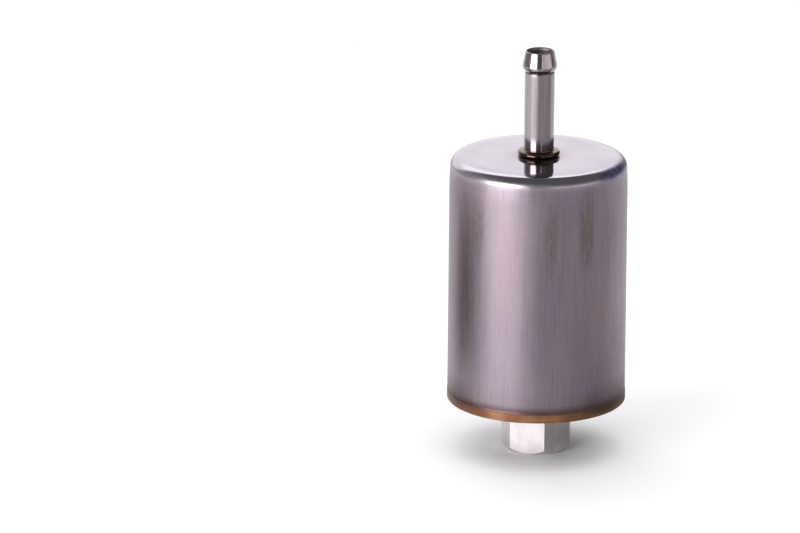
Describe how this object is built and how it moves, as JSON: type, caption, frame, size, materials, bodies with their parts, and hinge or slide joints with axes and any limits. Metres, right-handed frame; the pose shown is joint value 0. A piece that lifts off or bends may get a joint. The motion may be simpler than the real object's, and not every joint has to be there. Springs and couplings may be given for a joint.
{
  "type": "fuel filter",
  "caption": "In-line metal can fuel filter: female-threaded hex inlet fitting below, barbed hose stem above, pleated paper element held up by a spring inside.",
  "frame": {"origin": "centre of the hex inlet fitting's open face, on which the filter stands", "axes": "+Z along the filter's axis, from the inlet fitting to the hose stem; +X 13 degrees clockwise, seen from above, of the normal of one hex flat"},
  "size_m": [0.055, 0.055, 0.1263],
  "materials": {
    "can_steel": "satin",
    "cover_steel": "satin",
    "fitting_steel": "satin",
    "stem_steel": "bright",
    "copper_braze": "satin",
    "pressed_steel": "satin",
    "spring_steel": "satin",
    "filter_paper": "matte",
    "potting_compound": "matte",
    "seal_rubber": "matte",
    "strainer_nylon": "matte"
  },
  "bodies": {
    "root": {"can": "can_steel", "end_cover": "cover_steel", "rim_braze": "copper_braze", "inlet_fitting": "fitting_steel", "fitting_braze": "copper_braze", "outlet_stem": "stem_steel", "stem_braze": "copper_braze", "spring_seat": "pressed_steel", "element_spring": "spring_steel", "centring_spider": "pressed_steel", "bottom_cap": "pressed_steel", "bottom_potting": "potting_compound", "pleated_media": "filter_paper", "seam_clip": "pressed_steel", "centre_tube": "pressed_steel", "top_potting": "potting_compound", "top_cap": "pressed_steel", "outlet_seal": "seal_rubber", "strainer_frame": "strainer_nylon", "strainer_mesh": "strainer_nylon"}
  },
  "joints": []
}
